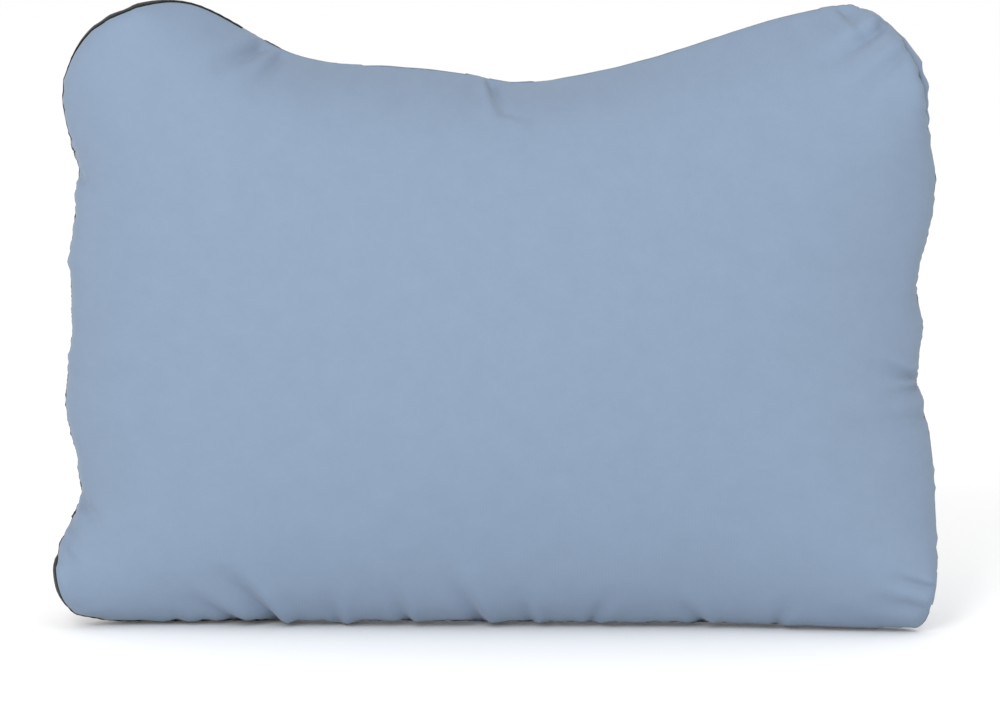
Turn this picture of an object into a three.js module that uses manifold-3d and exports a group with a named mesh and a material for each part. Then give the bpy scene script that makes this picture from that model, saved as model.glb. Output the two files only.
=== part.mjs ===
// A camp pillow standing on its long edge: two sewn fabric panels round a core of shredded foam,
// with a dark woven stow pocket across the left end of its back.
// Millimetres, +Z up, +X along the pillow's length, the front facing -Y, the origin on the floor
// under the middle. Every layer is the same cushion surface taken at its own depth under the skin.
import * as THREE from "three";
import { mergeVertices } from "three/addons/utils/BufferGeometryUtils.js";
import Module from "manifold-3d";

const wasm = await Module();
wasm.setup();

// Driving dimensions
const THICKNESS = 125; // front crown to back crown
const EDGE_FULLNESS = 2.3; // superellipse exponent of the side profile: 2 is round, more is fuller
const CROWN = { x: 0, z: 158 }; // the thickest point
const GAP = 0.3; // between layers that touch in the real pillow

const PANEL_THICKNESS = 1.2; // brushed polyester with its nap
const SEAM_ALLOWANCE = 8; // both panels turn in at the seam by this much
const TAPE_LAP = 3.3; // the binding tape reaches this far over the raw edges
const TAPE_THICKNESS = 0.6;
const FILL_CLEARANCE = 1.5; // foam to binding tape

const MOUTH_X = -110; // the free edge of the stow pocket
const POCKET_THICKNESS = 0.8;
const HEM_WIDTH = 20;
const HEM_THICKNESS = 3; // two turns of pocket cloth and the elastic between them
const HEM_CLOTH = 0.6;
const ELASTIC_WIDTH = 15;
const SET_IN = HEM_THICKNESS + GAP; // the back panel lies this deep under the pocket

const TACK_WIDTH = 14; // across the hem
const TACK_HEIGHT = 3;
const LOWER_TACK_Z = 34;
const UPPER_TACK_Z = 274;

const LABEL_FOLD = 0.5; // thickness of the folded care label
const LABEL_X = [187, 215];
const LABEL_Z = [120, 144];

// Fineness of the mesh
const SAMPLES_PER_POINT = 2; // round the outline, for each outline point
const RINGS = 6; // from the seam to the crown
const WELD = 1e-3;

// The sewn outline seen from the front, as X and Z, clockwise from the upper left lobe. The bottom
// edge runs below the floor, where the cushion flattens.
const OUTLINE = [
  [-224, 274], [-219, 297], [-205, 315], [-181, 325.5], [-157, 324], [-128, 311],
  [-108, 300], [-86, 294], [-52, 293], [-16, 289.5], [8, 284], [44, 288.5],
  [85, 299], [126, 313], [154, 321], [182, 324], [202, 317], [217.5, 302],
  [225.5, 284], [226, 258], [228, 238], [224, 204], [217.5, 178], [222.5, 158],
  [218, 127], [225.5, 106], [229, 66], [230, 38], [225.5, 14], [211, 0],
  [186, -7], [100, -12], [0, -12], [-100, -12], [-186, -7], [-212, 2],
  [-226, 14], [-230, 30], [-226, 46], [-215.5, 65], [-222, 98], [-225, 118],
  [-221, 152], [-222, 194], [-216, 238], [-221, 256],
];

const outline = new THREE.CatmullRomCurve3(
  OUTLINE.map(([x, z]) => new THREE.Vector3(x, 0, z)),
  true,
  "centripetal",
);
const AROUND = OUTLINE.length * SAMPLES_PER_POINT;
const FRONT = -1;
const BACK = 1;

const fabric = (color, roughness) =>
  new THREE.MeshStandardMaterial({ color, roughness, metalness: 0 });

// Solids and meshes

function solidOf(geometry) {
  geometry.deleteAttribute("normal");
  geometry.deleteAttribute("uv");
  const merged = mergeVertices(geometry, WELD);
  return new wasm.Manifold(
    new wasm.Mesh({
      numProp: 3,
      vertProperties: merged.attributes.position.array,
      triVerts: new Uint32Array(merged.index.array),
    }),
  );
}

function named(name, solid, material) {
  const { vertProperties, triVerts } = solid.getMesh();
  const geometry = new THREE.BufferGeometry();
  geometry.setAttribute("position", new THREE.BufferAttribute(vertProperties, 3));
  geometry.setIndex(new THREE.BufferAttribute(triVerts, 1));
  geometry.computeVertexNormals();
  const mesh = new THREE.Mesh(geometry, material);
  mesh.name = name;
  return mesh;
}

function block(x, y, z) {
  const size = [x, y, z].map(([low, high]) => high - low);
  const geometry = new THREE.BoxGeometry(...size);
  geometry.translate(x[0] + size[0] / 2, y[0] + size[1] / 2, z[0] + size[2] / 2);
  return solidOf(geometry);
}

const FAR = 400; // beyond the pillow on every side
const strip = (left, right) => block([left, right], [-FAR, FAR], [-FAR, FAR]);

// A closed surface through rings of points, from one crown to the other or round and round. Each
// ring is a function of the place round the outline, from 0 to 1. The quads of the two halves are
// split along the same diagonal, so that layers at different depths stay parallel.
function loft(rings) {
  const points = rings.flatMap((ring) =>
    Array.from({ length: AROUND }, (_, i) => ring(i / AROUND)),
  );
  const triangles = [];
  for (let row = 0; row + 1 < rings.length; row++) {
    for (let i = 0; i < AROUND; i++) {
      const next = (i + 1) % AROUND;
      const a = row * AROUND + i;
      const b = row * AROUND + next;
      const c = (row + 1) * AROUND + i;
      const d = (row + 1) * AROUND + next;
      const firstHalf = row < (rings.length - 1) / 2;
      triangles.push(...(firstHalf ? [a, b, d, a, d, c] : [a, b, c, b, d, c]));
    }
  }
  const geometry = new THREE.BufferGeometry().setFromPoints(points);
  geometry.setIndex(triangles);
  return solidOf(geometry);
}

// The cushion surface

// swell runs from 0 at the seam to a quarter turn at the crown.
function skinPoint(around, swell, side) {
  const edge = outline.getPoint(around);
  const power = 2 / EDGE_FULLNESS;
  const reach = Math.max(Math.cos(swell), 0) ** power;
  const lift = Math.sin(swell) ** power;
  return new THREE.Vector3(
    THREE.MathUtils.lerp(CROWN.x, edge.x, reach),
    (side * lift * THICKNESS) / 2,
    THREE.MathUtils.lerp(CROWN.z, edge.z, reach),
  );
}

function skinNormal(around, swell, side) {
  if (swell > Math.PI / 2 - 1e-6) return new THREE.Vector3(0, side, 0);
  const step = 1e-3;
  const along = skinPoint((around + step) % 1, swell, side);
  along.sub(skinPoint((around + 1 - step) % 1, swell, side));
  const inward = skinPoint(around, swell + step, side).sub(skinPoint(around, swell, side));
  return along.cross(inward).normalize().multiplyScalar(side);
}

// The point at a depth under the skin, no lower than that depth over the floor and no nearer to
// the seam's plane than fromSeam.
function layerPoint(around, swell, side, depth, fromSeam) {
  const point = skinPoint(around, swell, side);
  point.addScaledVector(skinNormal(around, swell, side), -depth);
  point.y = side * Math.max(side * point.y, fromSeam);
  point.z = Math.max(point.z, depth);
  return point;
}

// Rings of one side at a depth, from the seam to the crown. start skips rings next to the seam.
function sideRings(side, depth, fromSeam = GAP / 2, start = 0) {
  return Array.from({ length: RINGS + 1 - start }, (_, i) => {
    const swell = ((i + start) / RINGS) * (Math.PI / 2);
    return (around) => layerPoint(around, swell, side, depth, fromSeam);
  });
}

// A layer of one side: its outer rings, any rings at the seam, and its inner rings.
function layer(side, outer, atSeam, inner) {
  const rings = [...sideRings(side, outer).reverse(), ...atSeam, ...inner];
  return loft(side === FRONT ? rings : rings.reverse());
}

const evenLayer = (side, outer, inner) => layer(side, outer, [], sideRings(side, inner));

// A point inside the seam, at a distance in from the outline and its own place along Y.
function insidePoint(around, inset, y) {
  const onFloor = (t) => {
    const point = outline.getPoint((t + 1) % 1);
    point.z = Math.max(point.z, 0);
    return point;
  };
  const step = 2e-3;
  const along = onFloor(around + step).sub(onFloor(around - step));
  const inward = new THREE.Vector3(along.z, 0, -along.x).normalize();
  const point = onFloor(around).addScaledVector(inward, inset);
  point.y = y;
  return point;
}

const insideRing = (inset, y) => (around) => insidePoint(around, inset, y);

// The pieces

// A panel ends in its seam allowance, turned in along the seam's plane.
function panelLayer(side, depth) {
  const faceY = GAP / 2;
  const rawY = faceY + PANEL_THICKNESS;
  const allowance = [faceY, rawY].map((y) => insideRing(SEAM_ALLOWANCE, side * y));
  const inner = sideRings(side, depth + PANEL_THICKNESS, rawY);
  return layer(side, depth, allowance, inner);
}

function frontPanel() {
  return named("front_panel", panelLayer(FRONT, 0), fabric(0x94aac5, 0.95));
}

// The back panel drops by SET_IN along the mouth of the pocket and runs on under it.
const dropX = MOUTH_X + GAP;

function rearPanel() {
  const underPocket = panelLayer(BACK, SET_IN);
  const outside = panelLayer(BACK, 0);
  const drop = evenLayer(BACK, 0, SET_IN + PANEL_THICKNESS);
  const panel = underPocket
    .intersect(strip(-FAR, dropX + PANEL_THICKNESS))
    .add(outside.intersect(strip(dropX, FAR)))
    .add(drop.intersect(strip(dropX, dropX + PANEL_THICKNESS)));
  return named("rear_panel", panel, fabric(0x8fa5c1, 0.95));
}

function foamCore(backDepth) {
  const under = PANEL_THICKNESS + GAP;
  const groove = insideRing(SEAM_ALLOWANCE + GAP + TAPE_THICKNESS + FILL_CLEARANCE, 0);
  const front = sideRings(FRONT, under, 0, 1);
  const back = sideRings(BACK, backDepth + under, 0, 1);
  return loft([...front.reverse(), groove, ...back]);
}

function foamFill() {
  const right = foamCore(0).intersect(strip(dropX + PANEL_THICKNESS + GAP, FAR));
  return named("foam_fill", foamCore(SET_IN).add(right), fabric(0xe6dfc6, 1));
}

// A U of tape folded over the raw edges of both allowances.
function seamTape() {
  const inner = GAP / 2 + PANEL_THICKNESS + GAP;
  const outer = inner + TAPE_THICKNESS;
  const fold = SEAM_ALLOWANCE + GAP;
  const open = fold - TAPE_LAP;
  const section = [
    [open, -outer], [open, -inner], [fold, -inner], [fold, inner], [open, inner],
    [open, outer], [fold + TAPE_THICKNESS, outer], [fold + TAPE_THICKNESS, -outer],
  ];
  const rings = [...section, section[0]].map(([inset, y]) => insideRing(inset, y));
  return named("seam_tape", loft(rings), fabric(0x9fb0c4, 0.9));
}

const hemLeft = MOUTH_X - HEM_WIDTH;

function stowPocket() {
  const cloth = evenLayer(BACK, 0, POCKET_THICKNESS);
  const cut = cloth.intersect(strip(-FAR, hemLeft - GAP));
  return named("stow_pocket", cut, fabric(0x2e3036, 0.85));
}

// Each bar tack is a block of thread through the whole hem.
function tackBlock(z, grow) {
  const middle = hemLeft + HEM_WIDTH / 2;
  const across = TACK_WIDTH / 2 + grow;
  const up = TACK_HEIGHT / 2 + grow;
  return block([middle - across, middle + across], [0, FAR], [z - up, z + up]);
}

function barTack(name, z) {
  const thread = evenLayer(BACK, 0, HEM_THICKNESS).intersect(tackBlock(z, 0));
  return named(name, thread, fabric(0x141518, 0.6));
}

function pocketHem() {
  const channel = evenLayer(BACK, HEM_CLOTH, HEM_THICKNESS - HEM_CLOTH);
  const hem = evenLayer(BACK, 0, HEM_THICKNESS)
    .intersect(strip(hemLeft, MOUTH_X))
    .subtract(channel.intersect(strip(hemLeft + HEM_CLOTH, MOUTH_X - HEM_CLOTH)))
    .subtract(tackBlock(LOWER_TACK_Z, GAP))
    .subtract(tackBlock(UPPER_TACK_Z, GAP));
  return named("pocket_hem", hem, fabric(0x292b30, 0.85));
}

function hemElastic() {
  const under = HEM_CLOTH + GAP;
  const edge = (HEM_WIDTH - ELASTIC_WIDTH) / 2;
  const toTack = TACK_HEIGHT / 2 + GAP;
  const reach = block(
    [hemLeft + edge, MOUTH_X - edge],
    [0, FAR],
    [LOWER_TACK_Z + toTack, UPPER_TACK_Z - toTack],
  );
  const band = evenLayer(BACK, under, HEM_THICKNESS - under).intersect(reach);
  return named("hem_elastic", band, fabric(0x1c1d20, 0.7));
}

function careLabel() {
  const outside = evenLayer(BACK, -GAP - LABEL_FOLD, -GAP);
  const tab = outside.intersect(block(LABEL_X, [0, FAR], LABEL_Z));
  return named("care_label", tab, fabric(0xf2f1ec, 0.6));
}

const pillow = new THREE.Group();
pillow.add(
  frontPanel(),
  rearPanel(),
  foamFill(),
  seamTape(),
  stowPocket(),
  pocketHem(),
  hemElastic(),
  barTack("bar_tack_lower", LOWER_TACK_Z),
  barTack("bar_tack_upper", UPPER_TACK_Z),
  careLabel(),
);

export default pillow;
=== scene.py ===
import math

import bmesh
import bpy
import numpy as np
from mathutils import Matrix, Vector, geometry
from mathutils.kdtree import KDTree
from mathutils.bvhtree import BVHTree


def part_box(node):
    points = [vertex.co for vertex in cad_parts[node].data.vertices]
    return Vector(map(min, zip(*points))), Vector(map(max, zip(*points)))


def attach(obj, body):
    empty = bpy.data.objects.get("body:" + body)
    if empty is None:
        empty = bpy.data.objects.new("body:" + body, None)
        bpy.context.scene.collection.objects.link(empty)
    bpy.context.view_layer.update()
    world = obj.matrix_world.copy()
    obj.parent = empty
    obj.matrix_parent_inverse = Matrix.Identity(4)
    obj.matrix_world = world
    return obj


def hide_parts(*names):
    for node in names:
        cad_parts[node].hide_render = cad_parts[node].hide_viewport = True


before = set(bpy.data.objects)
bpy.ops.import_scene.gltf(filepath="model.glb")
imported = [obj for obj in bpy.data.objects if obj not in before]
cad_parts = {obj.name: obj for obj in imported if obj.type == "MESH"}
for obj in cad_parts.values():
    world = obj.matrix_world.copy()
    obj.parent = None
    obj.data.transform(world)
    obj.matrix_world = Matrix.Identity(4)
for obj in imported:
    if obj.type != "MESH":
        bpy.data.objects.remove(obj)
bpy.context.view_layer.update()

scene = bpy.context.scene
MM = 0.001
FRONT, BACK = -1, 1

# The flat cut of each panel, before it is sewn and filled
CUT_LENGTH = 0.492
CUT_HEIGHT = 0.376
CUT_CORNER = 0.045
CUT_DIP = 0.020  # the top edge is cut lower near its middle
DIP_X = 0.008
DIP_REACH = 0.105
CELL = 0.005  # spacing of the cloth's points

# Where the corners of the cut come to lie on the sewn seam, as X and Z
CORNERS = [(-0.212, 0.308), (0.211, 0.310), (0.222, 0.010), (-0.222, 0.010)]
SEAM_BEHIND = 0.005  # the seam runs this far behind the middle
# Where it swings to the front or further behind: X, Z, reach, how far, and how much fuller the
# back is there, so that it shows beyond the seam, or stays hidden behind it where that is negative
SEAM_SWINGS = [
    (-0.187, 0.316, 0.046, 0.028, 0.0018), (0.222, 0.290, 0.032, 0.028, 0.0056),
    (-0.226, 0.027, 0.026, 0.030, 0.0046), (0.227, 0.028, 0.020, 0.022, 0.0026),
    (-0.218, 0.150, 0.085, -0.008, -0.0055), (-0.2155, 0.070, 0.022, -0.007, -0.0010),
]
# Where the seam is drawn in, and how much closer its stitches take up the cloth there
PINCHES = [
    (-0.108, 0.300, 1.2), (0.008, 0.284, 0.7), (0.2175, 0.178, 0.8), (0.218, 0.127, 0.5),
    (-0.2155, 0.065, 1.2), (-0.216, 0.238, 1.2), (-0.221, 0.152, 0.8),
]
PINCH_REACH = 0.012
SEAM_LIFT = 0.006  # the seam under the pillow is held off the floor by the fill

MIDDLE_Z = 0.158  # height of the pillow's middle, which the rays and the folds aim at
OUTLINE_RAYS = 360
PATH_POINTS = 4000
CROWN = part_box("rear_panel")[1].y  # how far each panel bulges before the cloth settles
CROWN_SHARE = 0.97
CROWN_ROUND = 0.45  # a lower power swells the edges more
SIM_FRAMES = 20


def smooth(x, low, high):
    t = np.clip((x - low) / (high - low), 0, 1)
    return t * t * (3 - 2 * t)


# The sewn outline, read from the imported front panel

def cad_outline():
    """The panel's seam as points in the X-Z plane, from the left, clockwise seen from the front."""
    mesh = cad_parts["front_panel"].data
    tree = BVHTree.FromPolygons([v.co[:] for v in mesh.vertices], [p.vertices[:] for p in mesh.polygons])
    middle = Vector((0, -0.5 * MM, MIDDLE_Z))
    ring = []
    for k in range(OUTLINE_RAYS):
        turn = math.pi - 2 * math.pi * k / OUTLINE_RAYS
        outward = Vector((math.cos(turn), 0, math.sin(turn)))
        hit = tree.ray_cast(middle + outward, -outward)[0]
        ring.append((hit.x, hit.z))
    return np.array(ring)


def even_loop(points, count):
    """The closed loop again, as count points evenly spaced along its length."""
    looped = np.vstack([points, points[:1]])
    along = np.concatenate([[0], np.cumsum(np.linalg.norm(np.diff(looped, axis=0), axis=1))])
    at = np.linspace(0, along[-1], count, endpoint=False)
    return np.stack([np.interp(at, along, looped[:, k]) for k in range(looped.shape[1])], 1)


def closed_path(points):
    """A smooth closed path through points, as many evenly spaced ones."""
    n = len(points)
    t = np.linspace(0, n, PATH_POINTS, endpoint=False)
    i = np.floor(t).astype(int)
    f = (t - i)[:, None]
    p0, p1, p2, p3 = (points[(i + k) % n] for k in (-1, 0, 1, 2))
    path = 0.5 * (2 * p1 + (p2 - p0) * f + (2 * p0 - 5 * p1 + 4 * p2 - p3) * f**2
                  + (3 * p1 - p0 - 3 * p2 + p3) * f**3)
    return even_loop(path, PATH_POINTS)


# The flat cut and how it is sewn

def dipped(points):
    """Lowers the cut's top edge in its middle, and what lies below it in proportion."""
    dip = CUT_DIP * np.exp(-(((points[:, 0] - DIP_X) / DIP_REACH) ** 2))
    return points - np.stack([0 * dip, dip * (0.5 + points[:, 1] / CUT_HEIGHT)], 1)


def cut_outline():
    """The rounded rectangle of the cut, clockwise from the right end of its top edge."""
    w, h, r = CUT_LENGTH / 2 - CUT_CORNER, CUT_HEIGHT / 2 - CUT_CORNER, CUT_CORNER
    points = []
    for cx, cy, start in ((w, h, 90), (w, -h, 0), (-w, -h, -90), (-w, h, -180)):
        for k in range(0, 91, 3):
            a = math.radians(start - k)
            points.append((cx + r * math.cos(a), cy + r * math.sin(a)))
    length = 2 * (CUT_LENGTH + CUT_HEIGHT) - (8 - 2 * math.pi) * r
    return even_loop(np.array(points), round(length / CELL))


def sewn_edge(cut, path):
    """For each point of the cut's edge, its point on the sewn seam."""
    n = len(path)
    starts = [(cut * np.array(c)).sum(1).argmax() for c in ((-1, 1), (1, 1), (1, -1), (-1, -1))]
    targets = [np.hypot(path[:, 0] - x, path[:, 1] - z).argmin() for x, z in CORNERS]
    crowd = np.ones(n)
    for x, z, much in PINCHES:
        away = np.hypot(path[:, 0] - x, path[:, 1] - z)
        crowd += much * np.exp(-((away / PINCH_REACH) ** 2))
    sewn = np.zeros((len(cut), 2))
    for k in range(4):
        first, last = targets[k], targets[(k + 1) % 4]
        last += n if last <= first else 0
        stretch = np.arange(first, last + 1)
        taken = np.concatenate([[0], np.cumsum(crowd[stretch[1:] % n])])
        i0, i1 = starts[k], starts[(k + 1) % 4]
        i1 += len(cut) if i1 <= i0 else 0
        share = (np.arange(i0, i1) - i0) / (i1 - i0)
        at = np.interp(share * taken[-1], taken, stretch)
        sewn[np.arange(i0, i1) % len(cut)] = path[np.round(at).astype(int) % n]
    return sewn


def flat_mesh(cut):
    """Points and triangles of one flat panel; the cut's edge comes first."""
    grid = []
    for j, y in enumerate(np.arange(-CUT_HEIGHT / 2, CUT_HEIGHT / 2, CELL * math.sqrt(3) / 2)):
        shift = (j % 2) * CELL / 2
        grid += [(x, y) for x in np.arange(-CUT_LENGTH / 2 + shift, CUT_LENGTH / 2, CELL)]
    grid = np.array(grid)
    corner = np.array([CUT_LENGTH, CUT_HEIGHT]) / 2 - CUT_CORNER
    beyond = np.abs(grid) - corner
    depth = CUT_CORNER - np.hypot(*np.maximum(beyond, 0).T) - np.minimum(beyond.max(1), 0)
    points = np.vstack([dipped(cut), dipped(grid[depth > 0.62 * CELL])])
    edges = [(i, (i + 1) % len(cut)) for i in range(len(cut))]
    found = geometry.delaunay_2d_cdt([Vector(p) for p in points], edges, [], 1, 1e-7)
    return points, np.array(found[2])


def spread_inward(count, triangles, edge, source=0.0):
    """Values over the panel that settle between those on its edge, which come first.

    They bulge by source, and are found by conjugate gradients.
    """
    m = len(edge)
    e = np.vstack([triangles[:, [0, 1]], triangles[:, [1, 2]], triangles[:, [2, 0]]])
    e = np.unique(np.sort(e, axis=1), axis=0)
    degree = np.bincount(e.ravel(), minlength=count).astype(float)
    values = np.zeros((count, edge.shape[1]))
    values[:m] = edge

    def pull(v):
        out = degree[:, None] * v
        np.subtract.at(out, e[:, 0], v[e[:, 1]])
        np.subtract.at(out, e[:, 1], v[e[:, 0]])
        out[:m] = 0
        return out

    residual = source - pull(values)
    residual[:m] = 0
    step = residual.copy()
    size = first = (residual**2).sum()
    while size > 1e-14 * first:
        moved = pull(step)
        share = size / (step * moved).sum()
        values += share * step
        residual -= share * moved
        last, size = size, (residual**2).sum()
        step = residual + (size / last) * step
    return values


# The cushion: two flat panels joined along the seam, swelled by pressure

def seam_swing(places):
    """How far the seam runs to the front at X-Z places on it, and how much fuller the back is."""
    forward, fuller = np.full(len(places), -SEAM_BEHIND), np.zeros(len(places))
    for x, z, reach, swing, swell in SEAM_SWINGS:
        share = np.exp(-(np.hypot(places[:, 0] - x, places[:, 1] - z) / reach) ** 2)
        forward += swing * share
        fuller += swell * share
    return forward, fuller


def cushion_start(cut, flat, triangles):
    """The two panels, sewn at their edges and swelled to a first guess of the cushion."""
    m, n = len(cut), len(flat)
    path = closed_path(cad_outline())
    path[:, 1] = np.maximum(path[:, 1], SEAM_LIFT)
    sewn = sewn_edge(cut, path)
    forward, _ = seam_swing(sewn)
    edge = np.stack([sewn[:, 0], -forward, sewn[:, 1]], 1)
    middle = spread_inward(n, triangles, edge)
    swell = spread_inward(n, triangles, np.zeros((m, 1)), source=1.0)[:, 0]
    swell = CROWN_SHARE * CROWN * (swell / swell.max()) ** CROWN_ROUND
    out = np.stack([0 * swell, swell, 0 * swell], 1)
    return np.vstack([middle - out, (middle + out)[m:]])


def floor_press():
    """A plate on the floor that the cloth can't pass."""
    mesh = bpy.data.meshes.new("press")
    mesh.from_pydata([(-1, -1, 0), (1, -1, 0), (1, 1, 0), (-1, 1, 0)], [], [(0, 1, 2, 3)])
    press = bpy.data.objects.new("press", mesh)
    scene.collection.objects.link(press)
    press.modifiers.new("Collision", "COLLISION")
    press.collision.thickness_outer = 0.001
    press.collision.cloth_friction = 5
    return press


def inflate(points, flat, m, faces):
    """The cushion after the cloth has settled; its first m points are the seam, which is held."""
    mesh = bpy.data.meshes.new("cushion")
    mesh.from_pydata(points.tolist(), [], faces.tolist())
    cushion = bpy.data.objects.new("cushion", mesh)
    scene.collection.objects.link(cushion)
    cushion.shape_key_add(name="Basis")
    cut_key = cushion.shape_key_add(name="cut")
    flat3 = np.stack([flat[:, 0], 0 * flat[:, 0], flat[:, 1]], 1)
    cut_key.data.foreach_set("co", np.vstack([flat3, flat3[m:]]).ravel())
    cushion.vertex_groups.new(name="seam").add(list(range(m)), 0.9, "REPLACE")

    press = floor_press()
    cloth = cushion.modifiers.new("Cloth", "CLOTH")
    s = cloth.settings
    s.quality = 6
    s.mass = 0.2
    s.air_damping = 5
    s.tension_stiffness = 20
    s.compression_stiffness = 8
    s.shear_stiffness = 5
    s.bending_stiffness = 0.6
    s.tension_damping = s.compression_damping = s.shear_damping = 10
    s.bending_damping = 1
    s.use_pressure = True
    s.uniform_pressure_force = 3
    s.effector_weights.gravity = 0
    s.vertex_group_mass = "seam"
    s.pin_stiffness = 5
    s.rest_shape_key = cut_key
    cloth.collision_settings.distance_min = 0.001
    scene.frame_start, scene.frame_end = 1, SIM_FRAMES
    cloth.point_cache.frame_start, cloth.point_cache.frame_end = 1, SIM_FRAMES
    for f in range(1, SIM_FRAMES + 1):
        scene.frame_set(f)
    settled = cushion.evaluated_get(bpy.context.evaluated_depsgraph_get())
    co = np.zeros(len(points) * 3)
    settled.data.vertices.foreach_get("co", co)
    bpy.data.objects.remove(cushion)
    bpy.data.objects.remove(press)
    return co.reshape(-1, 3)


cut = cut_outline()
flat, triangles = flat_mesh(cut)
EDGE, PANEL = len(cut), len(flat)
back_triangles = np.where(triangles < EDGE, triangles, triangles + PANEL - EDGE)[:, ::-1]
shell_faces = np.vstack([triangles, back_triangles])
shell = cushion_start(cut, flat, triangles)
first, second, third = (shell[shell_faces[:, k]] for k in range(3))
if (np.cross(first, second) * third).sum() < 0:  # the faces look inwards
    shell_faces = shell_faces[:, ::-1]
shell = inflate(shell, flat, EDGE, shell_faces)


# Meshes and pieces

def new_object(name, mesh, *nodes, slot=None):
    """A piece of the pillow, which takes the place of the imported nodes."""
    o = bpy.data.objects.new(name, mesh)
    scene.collection.objects.link(o)
    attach(o, "root")
    if nodes:
        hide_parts(*nodes)
    return o


def mesh_of(name, points, faces, uv=None):
    """A smooth-shaded mesh, with a UV place for each point if uv is given."""
    mesh = bpy.data.meshes.new(name)
    mesh.from_pydata(np.asarray(points).tolist(), [], [list(map(int, f)) for f in faces])
    mesh.shade_smooth()
    if uv is not None:
        layer = mesh.uv_layers.new(name="cut")
        corner = np.zeros(len(mesh.loops), int)
        mesh.loops.foreach_get("vertex_index", corner)
        layer.data.foreach_set("uv", np.asarray(uv)[corner].ravel())
    mesh.update()
    return mesh


def refined(points, faces, uv):
    """Loop subdivision: each triangle becomes four, and the surface is rounded."""
    n = len(points)
    half_edges = np.vstack([faces[:, [0, 1]], faces[:, [1, 2]], faces[:, [2, 0]]])
    across = np.concatenate([faces[:, 2], faces[:, 0], faces[:, 1]])
    edges, where, uses = np.unique(np.sort(half_edges, axis=1), axis=0, return_inverse=True,
                                   return_counts=True)
    where = where.ravel()
    ends = points[edges[:, 0]] + points[edges[:, 1]]
    opposite = np.zeros_like(ends)
    np.add.at(opposite, where, points[across])
    rim = (uses == 1)[:, None]
    middles = np.where(rim, ends / 2, 0.375 * ends + 0.125 * opposite)

    outer = edges[uses == 1]
    degree = np.bincount(edges.ravel(), minlength=n)
    around = np.zeros_like(points)
    np.add.at(around, edges[:, 0], points[edges[:, 1]])
    np.add.at(around, edges[:, 1], points[edges[:, 0]])
    beta = (0.625 - (0.375 + 0.25 * np.cos(2 * math.pi / degree)) ** 2) / degree
    moved = points * (1 - beta * degree)[:, None] + around * beta[:, None]
    along_rim = np.zeros_like(points)
    np.add.at(along_rim, outer[:, 0], points[outer[:, 1]])
    np.add.at(along_rim, outer[:, 1], points[outer[:, 0]])
    on_rim = np.zeros(n, bool)
    on_rim[outer.ravel()] = True
    moved[on_rim] = 0.75 * points[on_rim] + 0.125 * along_rim[on_rim]

    m = n + where.reshape(3, -1).T
    a, b, c = faces.T
    split = np.vstack([np.stack(t, 1) for t in ((a, m[:, 0], m[:, 2]), (m[:, 0], b, m[:, 1]),
                                                (m[:, 2], m[:, 1], c), (m[:, 0], m[:, 1], m[:, 2]))])
    return np.vstack([moved, middles]), split, np.vstack([uv, (uv[edges[:, 0]] + uv[edges[:, 1]]) / 2])


def read(mesh):
    """Points and normals of a mesh, as arrays."""
    co, normal = np.zeros(len(mesh.vertices) * 3), np.zeros(len(mesh.vertices) * 3)
    mesh.vertices.foreach_get("co", co)
    mesh.vertex_normals.foreach_get("vector", normal)
    return co.reshape(-1, 3), normal.reshape(-1, 3)


def write(mesh, points):
    """Moves a mesh's points."""
    mesh.vertices.foreach_set("co", np.ascontiguousarray(points).ravel())
    mesh.update()


def edge_points(mesh):
    """The indices of the points on a mesh's open edge."""
    count = {}
    for polygon in mesh.polygons:
        for key in polygon.edge_keys:
            count[key] = count.get(key, 0) + 1
    return np.array(sorted({i for key, n in count.items() if n == 1 for i in key}))


def from_seam(points):
    """Each point's distance to the seam and the index of the seam point that it is nearest to."""
    found = [seam_tree.find(p) for p in points.tolist()]
    return np.array([f[2] for f in found]), np.array([f[1] for f in found])


def foot_on_seam(points, near):
    """The place on the seam's line beside each point."""
    tangent = along_seam[near] / np.linalg.norm(along_seam[near], axis=1)[:, None]
    return seam[near] + tangent * ((points - seam[near]) * tangent).sum(1)[:, None]


def noise(points, scale, seed=0):
    """Smooth seeded noise from -1 to 1, as a sum of a few waves in seeded directions."""
    rng = np.random.default_rng(seed)
    total = np.zeros(len(points))
    for _ in range(9):
        direction = rng.normal(size=3)
        direction /= np.linalg.norm(direction)
        length = scale * rng.uniform(0.7, 1.5)
        total += np.sin(2 * math.pi * (points @ direction) / length + rng.uniform(0, 6.3))
    return total / 5


# The sewn skins

GROOVE = 1.8 * MM  # the seam lies this deep between the panels
SEAM_SHADE_REACH = 1.1 * MM  # the seam's painted shade darkens the cloth this far from the seam
SKIN = 0.9 * MM
FLOOR_GAP = 0.6 * MM
SETTLE = 1.4 * MM  # how softly the underside meets the floor
ARCH = 1.3 * MM  # the front's lower edge stands this far off the floor near its middle
ARCH_X = 0.02
ARCH_REACH = 0.085
FOOT_FORWARD = 10 * MM  # the lower right corner stands this far forward
TOP_RISES = [(-0.154, 0.024, 3.6 * MM), (0.194, 0.024, 2.9 * MM)]  # plump places: X, reach, height
FULLER_RIGHT = 3.2 * MM  # the right side has slid a little, and lies fuller than it was sewn
DROP = 7 * MM  # the underside sinks this far under the pillow's weight
EVENING_STEPS = 24  # steps that even out the cloth, of which the last half work on the saddle only
OUTLINE_SHARE = 0.35  # of the cloth's swell beyond the sewn outline that is drawn in again
SWELL_REACH = 0.012  # from the seam to where the back is fullest
NARROW = 4 * MM  # a fold under this width needs a finer mesh
LUMPS = [(0.5 * MM, 0.06, 3), (0.12 * MM, 0.018, 4)]  # the crumbs under the skin: height, length, seed
FOLD_FREE = {FRONT: 0.010, BACK: 0.016}  # a fold has its full depth this far from the seam
PUCKER = 1.3 * MM  # height of the small puffs along the seam
PUCKER_LENGTH = 0.024
PUCKER_REACH = 0.016
MOUTH_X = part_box("pocket_hem")[1].x
HEM_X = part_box("pocket_hem")[0].x
HEM_MIDDLE = (MOUTH_X + HEM_X) / 2
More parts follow.
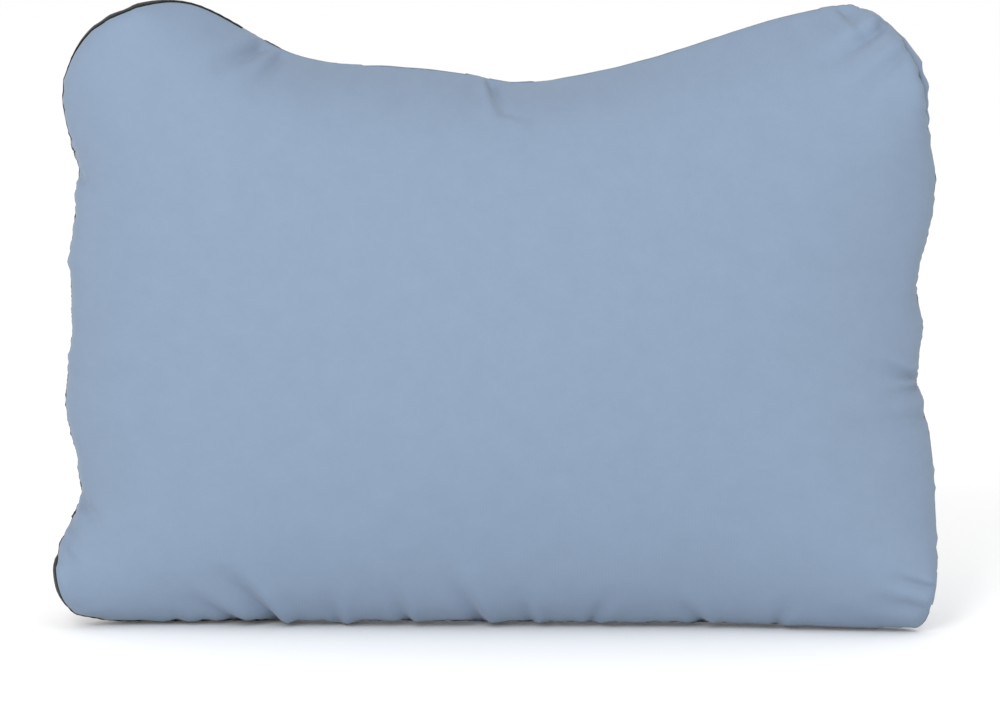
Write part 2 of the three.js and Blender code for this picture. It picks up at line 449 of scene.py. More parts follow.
HEM_HALF = (MOUTH_X - HEM_X) / 2
CINCH = 2.5 * MM  # how deep the elastic pulls the hem into the fill


def seam_of(points):
    """The seam's points, a tree of them, the way along it, and the way out from it in X-Z."""
    line = points[:EDGE].copy()
    tree = KDTree(EDGE)
    for i, p in enumerate(line):
        tree.insert(p, i)
    tree.balance()
    along = np.roll(line, -1, axis=0) - np.roll(line, 1, axis=0)
    out = np.stack([-along[:, 2], 0 * along[:, 0], along[:, 0]], 1)
    out /= np.linalg.norm(out, axis=1)[:, None]
    for _ in range(3):
        out = (np.roll(out, 1, axis=0) + out + np.roll(out, -1, axis=0)) / 3
        out /= np.linalg.norm(out, axis=1)[:, None]
    return line, tree, along, out


def over_saddle(points):
    """1 along the dipped middle of the top edge, and 0 elsewhere."""
    return smooth(points[:, 2], 0.245, 0.275) * (1 - smooth(np.abs(points[:, 0] - 0.01), 0.15, 0.19))


def calmer(points, faces):
    """Evens out the fabric away from the seam, and right up to it over the saddle."""
    edges = np.vstack([faces[:, [0, 1]], faces[:, [1, 2]], faces[:, [2, 0]]])
    edges = np.unique(np.sort(edges, axis=1), axis=0)
    degree = np.bincount(edges.ravel(), minlength=len(points))[:, None]
    away, _ = from_seam(points)
    saddle = over_saddle(points)
    share = 0.9 * ((1 - saddle) * smooth(away, 0.012, 0.05) + saddle * smooth(away, 0, 0.006))
    for step in range(EVENING_STEPS):
        total = np.zeros_like(points)
        np.add.at(total, edges[:, 0], points[edges[:, 1]])
        np.add.at(total, edges[:, 1], points[edges[:, 0]])
        points = points + share[:, None] * (total / degree - points)
        if step == EVENING_STEPS // 2 - 1:
            share = share * saddle
    return points


def fit_outline(points):
    """Draws the swelled cloth in towards the sewn outline, and fills the back where it is fuller."""
    away, near = from_seam(points)
    reach = ((points - seam[near]) * outward[near]).sum(1)
    extent = np.zeros(EDGE)
    close = away < 0.03
    np.maximum.at(extent, near[close], reach[close])
    for _ in range(6):
        extent = (np.roll(extent, 1) + 2 * extent + np.roll(extent, -1)) / 4
    moved = (extent * OUTLINE_SHARE)[near] * (1 - smooth(away, 0.02, 0.07))
    points = points - outward[near] * moved[:, None]
    fuller = seam_swing(seam[:, [0, 2]])[1][near]
    behind = np.arange(len(points)) >= PANEL
    swell = behind * fuller * (away / SWELL_REACH) * np.exp(1 - away / SWELL_REACH)
    swell -= np.maximum(fuller, 0) * np.exp(-away / SWELL_REACH)
    return points + outward[near] * swell[:, None]


def settled_on_floor(points):
    """Lets the underside down on the floor, where it flattens, with the slumps of a real filling."""
    points = points.copy()
    x, z = points[:, 0], points[:, 2]
    lowered = z - DROP * (1 - smooth(z, 0.0, 0.07)) * (1 - 0.8 * smooth(-x, 0.185, 0.225))
    points[:, 0] += FULLER_RIGHT * smooth(x, 0.11, 0.2) * (1 - smooth(z, 0.22, 0.29))
    points[:, 1] -= FOOT_FORWARD * smooth(x, 0.10, 0.2) * (1 - smooth(z, 0.03, 0.15))
    for place, reach, rise in TOP_RISES:
        lowered += rise * np.exp(-(((x - place) / reach) ** 2)) * smooth(z, 0.22, 0.30)
    touch = FLOOR_GAP + SETTLE
    resting = FLOOR_GAP + SETTLE * np.exp((lowered - touch) / SETTLE)
    points[:, 2] = np.where(lowered < touch, resting, lowered)
    return points


def pressed(co, normal, folds):
    """Folds in the cloth: each is a valley that fades from its first end, with a ridge beside it."""
    shift = np.zeros(len(co))
    for x0, z0, x1, z1, width, depth in folds:
        along = np.array([x1 - x0, z1 - z0])
        length = np.hypot(*along)
        along /= length
        rel = co[:, [0, 2]] - np.array([x0, z0])
        t = rel @ along / length
        side = rel[:, 0] * along[1] - rel[:, 1] * along[0]
        beyond = np.maximum(np.maximum(t - 1, -t) * length, 0)
        wide = width * (0.6 + 0.6 * np.clip(t, 0, 1))
        fade = np.exp(-((beyond / width) ** 2)) * (1 - 0.75 * np.clip(t, 0, 1) ** 1.5)
        valley = np.exp(-((side / wide) ** 2))
        ridge = 0.55 * np.exp(-(((side - 1.9 * wide) / (1.3 * wide)) ** 2))
        shift += depth * fade * (ridge - valley)
    return co + normal * shift[:, None]


def refine_near(mesh, folds):
    """Splits the edges that lie near the narrow folds, so that the folds' shapes come out."""
    work = bmesh.new()
    work.from_mesh(mesh)
    co = np.array([v.co[:] for v in work.verts])[:, [0, 2]]
    close = np.zeros(len(co), bool)
    for x0, z0, x1, z1, width, _ in folds:
        if width < NARROW:
            a, along = np.array([x0, z0]), np.array([x1 - x0, z1 - z0])
            t = np.clip((co - a) @ along / (along @ along), 0, 1)
            close |= np.linalg.norm(co - a - t[:, None] * along, axis=1) < 3.5 * width
    edges = [e for e in work.edges if close[e.verts[0].index] and close[e.verts[1].index]]
    bmesh.ops.subdivide_edges(work, edges=edges, cuts=1, use_grid_fill=True, smooth=0)
    work.to_mesh(mesh)
    work.free()
    mesh.shade_smooth()


def puckered(co, normal, away, near, seed):
    """Small puffs along the seam, with a crease between each and the next, on all but the saddle."""
    puffs = np.abs(noise(foot_on_seam(co, near), PUCKER_LENGTH, seed)) * 2 - 1
    fade = smooth(away, 0, 0.005) * np.exp(-((away / PUCKER_REACH) ** 2)) * (1 - 0.85 * over_saddle(co))
    fade = fade * (1 - 0.9 * smooth(-seam[near, 1], -0.005, 0.002))
    return co + normal * (PUCKER * puffs * fade)[:, None]


def arched(co):
    """The front lower edge stands a little off the floor in its middle, over the folds."""
    lift = ARCH * np.exp(-(((co[:, 0] - ARCH_X) / ARCH_REACH) ** 2)) * (1 - smooth(co[:, 2], 0.005, 0.06))
    return co + np.stack([0 * lift, 0 * lift, lift * smooth(-co[:, 1], 0.0, 0.02)], 1)


def fan(x, z, count, length, depth, rng):
    """Small folds that spread from a place on the seam towards the middle of the panel."""
    aim = math.atan2(MIDDLE_Z - z, -x)
    folds = []
    for k in range(count):
        turn = aim + (k - (count - 1) / 2) * 0.42 + rng.uniform(-0.12, 0.12)
        far_x = x + length * rng.uniform(0.6, 1.2) * math.cos(turn)
        far_z = z + length * rng.uniform(0.6, 1.2) * math.sin(turn)
        folds.append((x, z, far_x, far_z, rng.uniform(2.2, 3.4) * MM, depth * rng.uniform(0.6, 1.2)))
    return folds


def skin(name, side, folds):
    """One panel, refined, with its folds, lightly lumped by the crumbs, and drawn in at the seam."""
    if side == FRONT:
        points, faces = shell[:PANEL], triangles
    else:
        points = np.vstack([shell[:EDGE], shell[PANEL:]])
        faces = triangles[:, ::-1]
    mesh = mesh_of(name, *refined(points, faces, flat))
    refine_near(mesh, folds)
    co, normal = read(mesh)
    if (normal[:, 1] * side).mean() < 0:
        mesh.flip_normals()
        co, normal = read(mesh)
    away, near = from_seam(co)
    beside = np.linalg.norm(co - foot_on_seam(co, near), axis=1)
    on_edge = edge_points(mesh)
    lumps = sum(height * noise(co, length, seed) for height, length, seed in LUMPS)
    held = smooth(away, 0.001, FOLD_FREE[side])
    co = puckered(co, normal, away, near, 31 + side)
    co = pressed(co, normal * held[:, None], folds)
    co = co + normal * (lumps * smooth(away, 0, 0.03))[:, None]
    groove = GROOVE * (0.3 + 0.7 * smooth(seam[near[on_edge], 2], 0.003, 0.02))
    co[on_edge] -= outward[near[on_edge]] * groove[:, None]
    if side == BACK:
        dent = np.exp(-(((co[:, 0] - HEM_MIDDLE) / (0.8 * HEM_HALF)) ** 2))
        co = co - normal * (CINCH * dent * smooth(away, 0.004, 0.03))[:, None]
    co[:, 2] = np.maximum(co[:, 2], FLOOR_GAP)
    if side == FRONT:
        co = arched(co)
    write(mesh, co)
    # Painted shade: this point attribute darkens the cloth's colour along the seam, standing in for the
    # shade in the crevice between the panels
    painted_seam_shade = mesh.attributes.new("painted_seam_shade", "FLOAT", "POINT")
    painted_seam_shade.data.foreach_set("value", 0.5 * np.exp(-((beside / SEAM_SHADE_REACH) ** 2)))
    return mesh


def thicken(o, thickness):
    """Gives a skin its cloth's thickness, inwards from its surface."""
    solid = o.modifiers.new("Thickness", "SOLIDIFY")
    solid.thickness = thickness
    solid.offset = -1


seam, seam_tree, along_seam, outward = seam_of(shell)
shell = calmer(shell, shell_faces)
shell = fit_outline(shell)
shell = settled_on_floor(shell)
shell[:EDGE] = np.maximum(shell[:EDGE], [-1, -1, FLOOR_GAP])
# The seam has moved, so it is read again
seam, seam_tree, along_seam, outward = seam_of(shell)

FOLD_SEED = 5
# Each fold: the X and Z of its deep end, the X and Z of its far end, its width and its depth
FRONT_FOLDS = [
    (-0.103, 0.308, -0.140, 0.294, 3.8 * MM, 5.0 * MM),    # top left, beside the lobe
    (-0.103, 0.304, -0.122, 0.282, 3.6 * MM, 2.6 * MM),
    (-0.094, 0.305, -0.088, 0.291, 3.0 * MM, 1.6 * MM),
    (-0.080, 0.300, -0.078, 0.289, 3.0 * MM, 1.2 * MM),
    (-0.006, 0.293, 0.005, 0.270, 2.8 * MM, 4.2 * MM),     # the sharp crease in the saddle
    (0.0055, 0.270, 0.020, 0.267, 2.4 * MM, 0.8 * MM),
    (-0.045, 0.295, -0.052, 0.268, 7.0 * MM, 1.2 * MM),
    (0.204, 0.318, 0.170, 0.296, 3.8 * MM, 4.2 * MM),      # top right
    (0.210, 0.303, 0.186, 0.281, 4.0 * MM, 3.0 * MM),
    (0.176, 0.324, 0.190, 0.311, 2.8 * MM, 2.4 * MM),
    (0.150, 0.324, 0.156, 0.306, 5.0 * MM, 1.0 * MM),
    (0.222, 0.131, 0.196, 0.142, 3.2 * MM, 3.2 * MM),      # right side
    (0.222, 0.127, 0.206, 0.126, 2.6 * MM, 2.2 * MM),
    (0.222, 0.112, 0.184, 0.110, 6.0 * MM, 2.0 * MM),
    (0.224, 0.170, 0.206, 0.176, 4.0 * MM, 1.4 * MM),
    (0.227, 0.026, 0.204, 0.031, 3.2 * MM, 2.6 * MM),      # bottom right
    (0.224, 0.014, 0.196, 0.019, 4.4 * MM, 2.2 * MM),
    (-0.112, 0.002, -0.138, 0.030, 5.0 * MM, 5.0 * MM),    # bottom left, the long slanting fold
    (-0.132, 0.002, -0.160, 0.018, 4.4 * MM, 2.6 * MM),
    (-0.006, 0.003, -0.026, 0.031, 5.0 * MM, 3.2 * MM),
    (0.020, 0.003, 0.014, 0.018, 4.0 * MM, 2.2 * MM),
    (0.052, 0.003, 0.060, 0.019, 4.0 * MM, 2.2 * MM),
    (0.110, 0.003, 0.094, 0.016, 4.0 * MM, 2.4 * MM),
    (-0.044, 0.003, -0.051, 0.019, 4.0 * MM, 2.4 * MM),
    (-0.080, 0.003, -0.086, 0.018, 4.0 * MM, 2.2 * MM),
    (0.148, 0.003, 0.152, 0.016, 4.0 * MM, 1.8 * MM),
    (-0.222, 0.072, -0.203, 0.057, 3.2 * MM, 3.2 * MM),    # left side, lower pinch
    (-0.226, 0.057, -0.214, 0.049, 2.8 * MM, 1.8 * MM),
    (-0.224, 0.049, -0.210, 0.036, 2.8 * MM, 1.6 * MM),
    (-0.222, 0.244, -0.206, 0.227, 3.0 * MM, 2.6 * MM),    # left side, upper pinch
]
BACK_FAN = 3  # folds at each pinch
BACK_FOLD_LENGTH = 0.026
BACK_FOLD_DEPTH = 1.3 * MM
rng = np.random.default_rng(FOLD_SEED)
BACK_FOLDS = []
for x, z, much in PINCHES:
    BACK_FOLDS += fan(x, z, BACK_FAN, BACK_FOLD_LENGTH, BACK_FOLD_DEPTH * much, rng)
front_mesh = skin("front_panel_cloth", FRONT, FRONT_FOLDS)
back_mesh = skin("rear_panel_cloth", BACK, BACK_FOLDS)
front = new_object("front_panel_cloth", front_mesh, "front_panel", slot="brushed_fabric")
back = new_object("rear_panel_cloth", back_mesh, "rear_panel", slot="brushed_fabric")
thicken(front, SKIN)
thicken(back, SKIN)


# The stow pocket over the left end of the back

POCKET_LIFT = 1.0 * MM  # the pocket's cloth over the back panel's
POCKET_CLOTH = 0.5 * MM
POCKET_FLOOR = 0.3 * MM
TUCK = 1.0 * MM  # between the lobes the pocket's edge lies this far inside the seam
HEM_PUFF = 1.7 * MM  # the hem's casing stands this far over the pocket's cloth
GATHER = 0.010  # spacing of the gathers along the elastic


def back_strip(name, low, high):
    """The part of the back panel's skin between two places along X."""
    work = bmesh.new()
    work.from_mesh(back_mesh)
    for x, direction in ((low, -1), (high, 1)):
        whole = work.verts[:] + work.edges[:] + work.faces[:]
        bmesh.ops.bisect_plane(work, geom=whole, plane_co=(x, 0, 0), plane_no=(direction, 0, 0),
                               clear_outer=True, dist=1e-6)
    mesh = bpy.data.meshes.new(name)
    work.to_mesh(mesh)
    work.free()
    mesh.shade_smooth()
    return mesh


def gathers(co):
    """Ripples along the mouth, as the elastic bunches the cloth."""
    wander = 0.35 * GATHER * noise(co, 0.06, 11)
    ripple = np.sin(2 * math.pi * (co[:, 2] + wander) / GATHER)
    return ripple + 0.4 * np.sin(2 * math.pi * (co[:, 2] + wander) / (0.53 * GATHER) + 1)


def stow_pocket():
    """The pocket's cloth, which hangs a little off the panel and ripples near its mouth."""
    mesh = back_strip("stow_pocket_cloth", -1, HEM_X + 0.5 * MM)
    co, normal = read(mesh)
    away, near = from_seam(co)
    lift = POCKET_LIFT * (0.35 + 0.65 * smooth(away, 0, 0.006))
    to_hem = HEM_X - co[:, 0]
    puff = 1.6 * MM * smooth(to_hem, 0, 0.03) * smooth(away, 0.005, 0.04)
    waves = 0.6 * MM * gathers(co) * np.exp(-to_hem / 0.02) * smooth(away, 0.004, 0.02)
    co = co + normal * (lift + puff + waves)[:, None]
    hidden = smooth(-seam_swing(seam[:, [0, 2]])[1][near], 0.001, 0.004)
    co -= outward[near] * (TUCK * hidden * np.exp(-((away / 0.003) ** 2)))[:, None]
    co[:, 2] = np.maximum(co[:, 2], POCKET_FLOOR)
    write(mesh, co)
    return mesh


def pocket_hem():
    """The puffed casing along the mouth, split finely enough for its gathers."""
    mesh = back_strip("pocket_hem_casing", HEM_X, MOUTH_X)
    for _ in range(2):
        work = bmesh.new()
        work.from_mesh(mesh)
        steep = [e for e in work.edges if abs(e.verts[0].co.x - e.verts[1].co.x) > 1.2 * MM]
        bmesh.ops.subdivide_edges(work, edges=steep, cuts=1, use_grid_fill=True)
        bmesh.ops.triangulate(work, faces=[f for f in work.faces if len(f.verts) > 4])
        work.to_mesh(mesh)
        work.free()
    mesh.shade_smooth()
    co, normal = read(mesh)
    away, _ = from_seam(co)
    across = (co[:, 0] - HEM_MIDDLE) / HEM_HALF
    round_over = np.sqrt(np.maximum(1 - np.abs(across) ** 3, 0))
    waves = 0.45 * MM * gathers(co) * round_over
    lift = POCKET_LIFT * 0.4 + (HEM_PUFF + waves + POCKET_LIFT * 0.6) * round_over
    lift *= smooth(away, -0.001, 0.012)
    co = co + normal * lift[:, None]
    co[:, 2] = np.maximum(co[:, 2], POCKET_FLOOR)
    write(mesh, co)
    return mesh


pocket_mesh = stow_pocket()
pocket = new_object("stow_pocket_cloth", pocket_mesh, "stow_pocket", slot="pocket_fabric")
hem_mesh = pocket_hem()
hem = new_object("pocket_hem_casing", hem_mesh, "pocket_hem", slot="pocket_fabric")
thicken(pocket, POCKET_CLOTH)
thicken(hem, POCKET_CLOTH)


# What lies inside: the foam, the binding tape and the elastic

CORE_INSET = 4.6 * MM  # the foam lies this far under the skins
CORE_DRAWN = 2 * MM  # and this much further along the seam
CORE_EDGE = 9 * MM  # how far the foam stops short of the seam
CORE_FLOOR = 5 * MM
TAPE_FLOOR = 2.2 * MM
CORE_LUMPS = [(0.6 * MM, 0.016, 21), (0.3 * MM, 0.009, 22)]  # height, length, seed
# Inset and Y of each corner of the folded tape, in millimetres
TAPE_SECTION = [(5, -1.6), (5, -1), (8.4, -1), (8.4, 1), (5, 1), (5, 1.6), (9, 1.6), (9, -1.6)]


def inner_core():
    """The foam crumbs as one lumpy body under the skins."""
    mesh = mesh_of("foam_fill_crumbs", *refined(shell, shell_faces, shell[:, :2]))
    co, normal = read(mesh)
    away, near = from_seam(co)
    in_front = smooth(-co[:, 1], -0.005, 0.005)[:, None]
    co = pressed(co, normal * in_front, FRONT_FOLDS)
    lumps = sum(height * noise(co, length, seed) for height, length, seed in CORE_LUMPS)
    drawn = smooth(away, 0, 0.02)
    co = co - normal * (CORE_INSET + lumps + CORE_DRAWN * (1 - drawn))[:, None]
    co -= outward[near] * (CORE_EDGE * np.exp(-((away / 0.006) ** 2)))[:, None]
    dent = np.exp(-(((co[:, 0] - HEM_MIDDLE) / HEM_HALF) ** 2)) * (co[:, 1] > 0)
    co = co - normal * (CINCH * dent * smooth(away, 0.004, 0.03))[:, None]
    co[:, 2] = np.maximum(co[:, 2], CORE_FLOOR)
    write(mesh, arched(co))
    return mesh


def ring_band(name, section):
    """A closed band that follows the seam inside; section is inset and Y for each corner."""
    points = np.vstack([seam - outward * inset + np.array([0, y, 0]) for inset, y in section])
    points[:, 2] = np.maximum(points[:, 2], TAPE_FLOOR)
    k = len(section)
    faces = []
    for row in range(k):
        for i in range(EDGE):
            j = (i + 1) % EDGE
            up = (row + 1) % k
            faces.append((row * EDGE + i, up * EDGE + i, up * EDGE + j, row * EDGE + j))
    return mesh_of(name, points, faces)


core = new_object("foam_fill_crumbs", inner_core(), "foam_fill", slot="shredded_foam")
tape_mesh = ring_band("seam_tape_binding", [(MM * inset, MM * y) for inset, y in TAPE_SECTION])
tape = new_object("seam_tape_binding", tape_mesh, "seam_tape", slot="binding_tape")


# Stitches and other things on the finished skins, placed by looking along Y

STITCH_PITCH = 3.2 * MM
STITCH_LENGTH = 2.3 * MM
STITCH_RADIUS = 0.28 * MM
STITCH_INSET = 2.2 * MM  # from the hem's inner edge to its row of stitches
STITCH_ROW = (0.012, 0.298)  # the row's ends along Z
TACK_THREADS = 22
TACK_LENGTH = 14 * MM
TACK_HALF = 1.5 * MM
TACK_LEAN = 0.5 * MM
TACK_RADIUS = 0.38 * MM
TACK_PAST = 2 * MM  # from the elastic's end to the middle of its bar tack
THREAD_FLAT = 0.6  # a thread's height over its width
trees = {}


def on_surface(mesh, x, z, side):
    """The place and the outward normal that X and Z have on a skin, looked for from its own side."""
    if mesh.name not in trees:
        trees[mesh.name] = BVHTree.FromPolygons([v.co[:] for v in mesh.vertices],
                                                [p.vertices[:] for p in mesh.polygons])
    hit, normal, _, _ = trees[mesh.name].ray_cast(Vector((x, side, z)), Vector((0, -side, 0)))
    if normal is not None and normal.y * side < 0:
        normal = -normal
    return hit, normal


def capsule(points, faces, start, end, radius, normal):
    """Adds one thread stitch, a rounded bar from start to end that dips at both ends."""
    axis = end - start
    length = axis.length
    axis.normalize()
    across = axis.cross(normal).normalized()
    rings, sides = 5, 6
    base = len(points)
    for i in range(rings):
        t = i / (rings - 1)
        swell = math.sqrt(max(1 - (2 * t - 1) ** 4, 0.02))
        middle = start + axis * (length * t) - normal * (radius * 1.2 * (2 * t - 1) ** 4)
        for k in range(sides):
            turn = 2 * math.pi * k / sides
            points.append(middle + across * (math.cos(turn) * radius * swell)
                          + normal * (math.sin(turn) * radius * swell * THREAD_FLAT))
    for i in range(rings - 1):
        for k in range(sides):
            n = (k + 1) % sides
            a, b = base + i * sides, base + (i + 1) * sides
            faces.append((a + k, a + n, b + n, b + k))
    faces.append(tuple(base + k for k in reversed(range(sides))))
    faces.append(tuple(base + (rings - 1) * sides + k for k in range(sides)))


def stitch_row(name, mesh, x, z_from, z_to):
    """A straight row of stitches up a skin."""
    points, faces = [], []
    z = z_from
    while z < z_to:
        a, na = on_surface(mesh, x, z, BACK)
        b, nb = on_surface(mesh, x, z + STITCH_LENGTH, BACK)
        if a is not None and b is not None:
            normal = (na + nb).normalized()
            lift = normal * (STITCH_RADIUS * 0.5)
            capsule(points, faces, a + lift, b + lift, STITCH_RADIUS, normal)
        z += STITCH_PITCH
    return mesh_of(name, [p[:] for p in points], faces)


def bar_tack(name, node, z):
    """Close zigzag threads across the hem."""
    points, faces = [], []
    for i in range(TACK_THREADS):
        x = HEM_MIDDLE + (i / (TACK_THREADS - 1) - 0.5) * TACK_LENGTH
        lean = TACK_LEAN if i % 2 else -TACK_LEAN
        a, na = on_surface(hem_mesh, x - lean, z - TACK_HALF, BACK)
        b, nb = on_surface(hem_mesh, x + lean, z + TACK_HALF, BACK)
        if a is None or b is None:
            continue
        normal = (na + nb).normalized()
        capsule(points, faces, a + normal * 0.2 * MM, b + normal * 0.2 * MM, TACK_RADIUS, normal)
    return new_object(name, mesh_of(name, [p[:] for p in points], faces), node, slot="sewing_thread")


elastic_low, elastic_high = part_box("hem_elastic")
tacks = [bar_tack("bar_tack_lower_stitches", "bar_tack_lower", elastic_low.z - TACK_PAST),
         bar_tack("bar_tack_upper_stitches", "bar_tack_upper", elastic_high.z + TACK_PAST)]
hem_row = stitch_row("hem_stitches", hem_mesh, HEM_X + STITCH_INSET, *STITCH_ROW)
hem_stitches = new_object("hem_stitches", hem_row, slot="sewing_thread")


def surface_patch(name, mesh, x_range, z_range, lift, cols, rows, shape=lambda u, v: 0):
    """A strip that lies on a skin; shape adds height over the strip's own u and v."""
    points, faces = [], []
    for j in range(rows + 1):
        for i in range(cols + 1):
            u, v = i / cols, j / rows
            x = x_range[0] + u * (x_range[1] - x_range[0])
            z = z_range[0] + v * (z_range[1] - z_range[0])
            hit, normal = on_surface(mesh, x, z, BACK)
            points.append((hit + normal * (lift + shape(u, v)))[:])
    for j in range(rows):
        for i in range(cols):
            a = j * (cols + 1) + i
            faces.append((a, a + cols + 1, a + cols + 2, a + 1))
    uv = [((i % (cols + 1)) / cols, (i // (cols + 1)) / rows) for i in range(len(points))]
    return mesh_of(name, points, faces, uv)


ELASTIC_LIFT = 1.4 * MM
ELASTIC_CLOTH = 0.6 * MM
LABEL_LIFT = 0.7 * MM
LABEL_CLOTH = 0.45 * MM
LABEL_SHORT = 4 * MM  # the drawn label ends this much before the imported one, where the skin turns steep


def label_curl(u, v):
    """How far the label's free end lifts and waves off the panel."""
    return 1.2 * MM * (1 - u) ** 2 + 0.25 * MM * math.sin(5 * v + 2 * u)


elastic_mesh = surface_patch("hem_elastic_band", back_mesh, (elastic_low.x, elastic_high.x),
                             (elastic_low.z, elastic_high.z), ELASTIC_LIFT, 8, 120)
elastic = new_object("hem_elastic_band", elastic_mesh, "hem_elastic", slot="elastic")
thicken(elastic, ELASTIC_CLOTH)

label_low, label_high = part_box("care_label")
label_mesh = surface_patch("care_label_tab", back_mesh, (label_low.x, label_high.x - LABEL_SHORT),
                           (label_low.z, label_high.z), LABEL_LIFT, 28, 24, label_curl)
label = new_object("care_label_tab", label_mesh, "care_label", slot="label_satin")
thicken(label, LABEL_CLOTH)


# Materials

def new_material(name, color, rough):
    """A plain material, with its node tree and its shader."""
    m = bpy.data.materials.new(name)
    m.use_nodes = True
    shader = m.node_tree.nodes["Principled BSDF"]
    shader.inputs["Base Color"].default_value = (*color, 1)
    shader.inputs["Roughness"].default_value = rough
    return m, m.node_tree, shader


def bands(spacing):
    """The scale that a wave texture needs for bands this far apart."""
    return 2 * math.pi / spacing / 20


def textured(tree, kind, scale, coordinates, **settings):
    """A texture of any kind on the given coordinates."""
    node = tree.nodes.new(kind)
    node.inputs["Scale"].default_value = scale
    for key, value in settings.items():
        if key in node.inputs:
            node.inputs[key].default_value = value
        else:
            setattr(node, key, value)
    tree.links.new(coordinates, node.inputs["Vector"])
    return node


def two_tones(tree, shader, factor, color, spread):
    """Colour that varies by spread either side of color as the texture does, and darkens as painted shade
    where the seam's painted shade lowers the factor.
    """
    ramp = tree.nodes.new("ShaderNodeValToRGB")
    ramp.color_ramp.elements.new(0.5)
    stops = ramp.color_ramp.elements
    stops[1].position, stops[2].position = 0.25, 0.75
    # The darkest stop, at 0, is the colour of the painted shade in the seam
    stops[0].color = (*[c * 0.4 for c in color], 1)
    stops[1].color = (*[c * (1 - spread) for c in color], 1)
    stops[2].color = (*[min(1, c * (1 + spread)) for c in color], 1)
    tree.links.new(factor, ramp.inputs["Fac"])
    tree.links.new(ramp.outputs["Color"], shader.inputs["Base Color"])


def bump(tree, shader, height, distance, strength, under=None):
    """Raises the surface by a texture, on top of the bump under it."""
    node = tree.nodes.new("ShaderNodeBump")
    node.inputs["Distance"].default_value = distance
    node.inputs["Strength"].default_value = strength
    tree.links.new(height, node.inputs["Height"])
    if under:
        tree.links.new(under.outputs["Normal"], node.inputs["Normal"])
    tree.links.new(node.outputs["Normal"], shader.inputs["Normal"])
    return node


def woven(name, color, rough, thread, spread, sheen, nap=0.0, along="Object"):
    """Plain-woven cloth: two crossing sets of threads, a mottled colour darkened by painted shade along
    the seam, and an optional nap.
    """
    m, tree, shader = new_material(name, color, rough)
    place = tree.nodes.new("ShaderNodeTexCoord").outputs[along]
    mottle = textured(tree, "ShaderNodeTexNoise", 55, place, Detail=6.0, Roughness=0.75)
    # Painted shade: the mesh's seam attribute is taken off the mottle, which darkens the colour near the
    # seam
    painted_seam_shade = tree.nodes.new("ShaderNodeAttribute")
    painted_seam_shade.attribute_name = "painted_seam_shade"
    shaded = tree.nodes.new("ShaderNodeMath")
    shaded.operation = "SUBTRACT"
    tree.links.new(mottle.outputs["Fac"], shaded.inputs[0])
    tree.links.new(painted_seam_shade.outputs["Fac"], shaded.inputs[1])
    two_tones(tree, shader, shaded.outputs["Value"], color, spread)
    waves = [textured(tree, "ShaderNodeTexWave", bands(thread), place, bands_direction=axis,
                      Distortion=0.6, Detail=1.0) for axis in ("X", "Y" if along == "UV" else "Z")]
    crossing = tree.nodes.new("ShaderNodeMath")
    crossing.operation = "MULTIPLY"
    tree.links.new(waves[0].outputs["Fac"], crossing.inputs[0])
    tree.links.new(waves[1].outputs["Fac"], crossing.inputs[1])
    weave = bump(tree, shader, crossing.outputs["Value"], 0.00012, 0.5)
    if nap:
        fibres = textured(tree, "ShaderNodeTexNoise", 900, place, Detail=3.0)
        bump(tree, shader, fibres.outputs["Fac"], nap, 0.6, weave)
    shader.inputs["Sheen Weight"].default_value = sheen
    shader.inputs["Sheen Roughness"].default_value = 0.5
    shader.inputs["Specular IOR Level"].default_value = 0.2
    return m


def crumbs(name, color):
    """Shredded foam: rounded cells."""
    m, tree, shader = new_material(name, color, 0.95)
    place = tree.nodes.new("ShaderNodeTexCoord").outputs["Object"]
    cells = textured(tree, "ShaderNodeTexVoronoi", 140, place)
    two_tones(tree, shader, cells.outputs["Distance"], color, 0.15)
    bump(tree, shader, cells.outputs["Distance"], 0.0015, 0.8)
    return m


def ribbed(name, color, rough, pitch, depth, axis, sheen=0.0):
    """Thread, elastic or satin: fine ribs along one axis."""
    m, tree, shader = new_material(name, color, rough)
    place = tree.nodes.new("ShaderNodeTexCoord").outputs["Object"]
    ribs = textured(tree, "ShaderNodeTexWave", bands(pitch), place, bands_direction=axis, Distortion=0.3)
    bump(tree, shader, ribs.outputs["Fac"], depth, 0.6)
    mottle = textured(tree, "ShaderNodeTexNoise", 120, place, Detail=4.0)
    two_tones(tree, shader, mottle.outputs["Fac"], color, 0.05)
    shader.inputs["Sheen Weight"].default_value = sheen
    return m


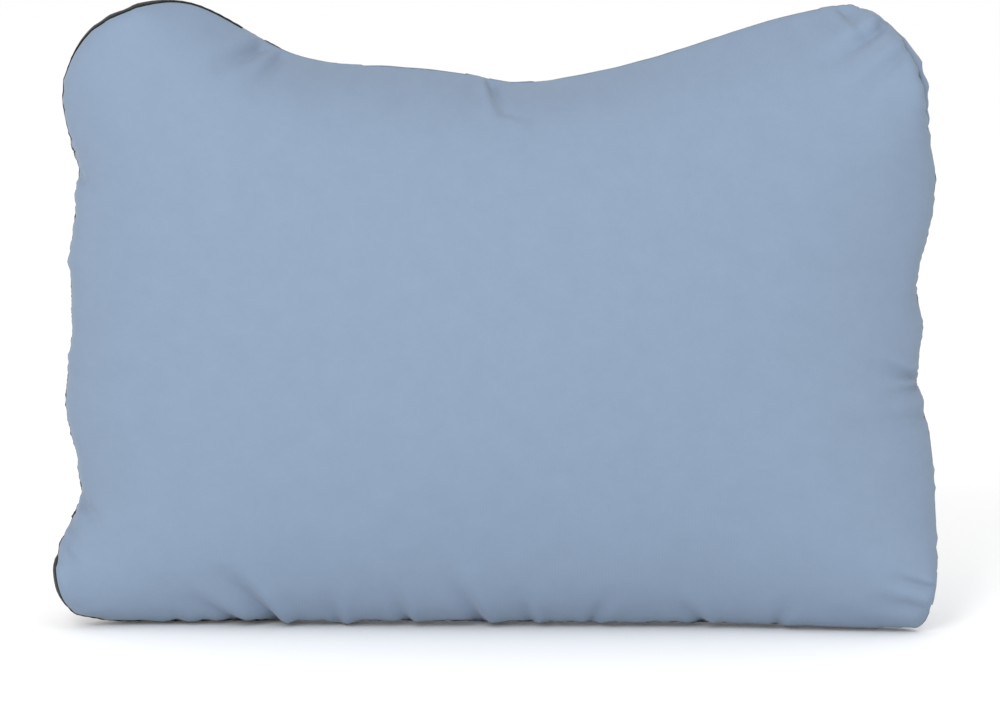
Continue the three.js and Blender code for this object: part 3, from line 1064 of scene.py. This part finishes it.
BLUE = (0.167, 0.222, 0.304)
CHARCOAL = (0.021, 0.023, 0.027)
brushed_fabric = woven("brushed_fabric", BLUE, 0.92, 0.0008, 0.035, 0.12, nap=0.0001, along="UV")
pocket_fabric = woven("pocket_fabric", CHARCOAL, 0.8, 0.0009, 0.12, 0.1, along="UV")
binding_tape = woven("binding_tape", BLUE, 0.85, 0.0008, 0.05, 0.1)
shredded_foam = crumbs("shredded_foam", (0.72, 0.69, 0.60))
sewing_thread = ribbed("sewing_thread", (0.017, 0.018, 0.021), 0.55, 0.0004, 0.00008, "DIAGONAL")
elastic_knit = ribbed("elastic", (0.03, 0.03, 0.033), 0.75, 0.0012, 0.0003, "Z")
label_satin = ribbed("label_satin", (0.78, 0.78, 0.76), 0.42, 0.0005, 0.00005, "Z", sheen=0.2)
for piece, finish in ((front, brushed_fabric), (back, brushed_fabric), (pocket, pocket_fabric),
                      (hem, pocket_fabric), (core, shredded_foam), (tape, binding_tape),
                      (elastic, elastic_knit), (label, label_satin), (hem_stitches, sewing_thread),
                      (tacks[0], sewing_thread), (tacks[1], sewing_thread)):
    piece.data.materials.append(finish)


# Camera, floor and light

ELEVATION = math.radians(7)
ROLL = math.radians(-0.25)
FAR = 2.6  # from the camera to the point that it aims at
FRAME_WIDTH = 0.5186  # what the picture's width takes in there
SENSOR = 36
FLOOR_HALF = 30
WORLD_STRENGTH = 1.03
camera_data = bpy.data.cameras.new("camera")
camera = bpy.data.objects.new("camera", camera_data)
scene.collection.objects.link(camera)
aim = Vector((0.0023, 0, 0.1409))
camera.location = aim + FAR * Vector((0, -math.cos(ELEVATION), math.sin(ELEVATION)))
camera.rotation_euler = (math.pi / 2 - ELEVATION, ROLL, 0)
camera_data.sensor_width = SENSOR
camera_data.lens = SENSOR * FAR / FRAME_WIDTH
camera_data.clip_end = 2 * FLOOR_HALF
scene.camera = camera

floor = bpy.data.objects.new("floor", bpy.data.meshes.new("floor"))
floor_corners = [(x * FLOOR_HALF, y * FLOOR_HALF, 0) for x, y in ((-1, -1), (1, -1), (1, 1), (-1, 1))]
floor.data.from_pydata(floor_corners, [], [(0, 1, 2, 3)])
scene.collection.objects.link(floor)
floor.data.materials.append(new_material("floor", (0.96, 0.96, 0.96), 1.0)[0])

world = bpy.data.worlds.new("world")
scene.world = world
world.use_nodes = True
world.node_tree.nodes["Background"].inputs[0].default_value = (1, 1, 1, 1)
world.node_tree.nodes["Background"].inputs[1].default_value = WORLD_STRENGTH


def area_light(name, at, size, power):
    """A soft rectangular light that faces the pillow's middle."""
    d = bpy.data.lights.new(name, "AREA")
    d.shape = "RECTANGLE"
    d.size, d.size_y = size
    d.energy = power
    o = bpy.data.objects.new(name, d)
    o.location = at
    o.rotation_euler = (Vector((0, 0, 0.15)) - Vector(at)).to_track_quat("-Z", "Y").to_euler()
    scene.collection.objects.link(o)


area_light("key", (-0.7, -2.6, 1.15), (0.7, 1.8), 50)
area_light("low fill", (0.2, -2.0, 0.08), (1.6, 0.14), 5)
scene.view_settings.view_transform = "Standard"
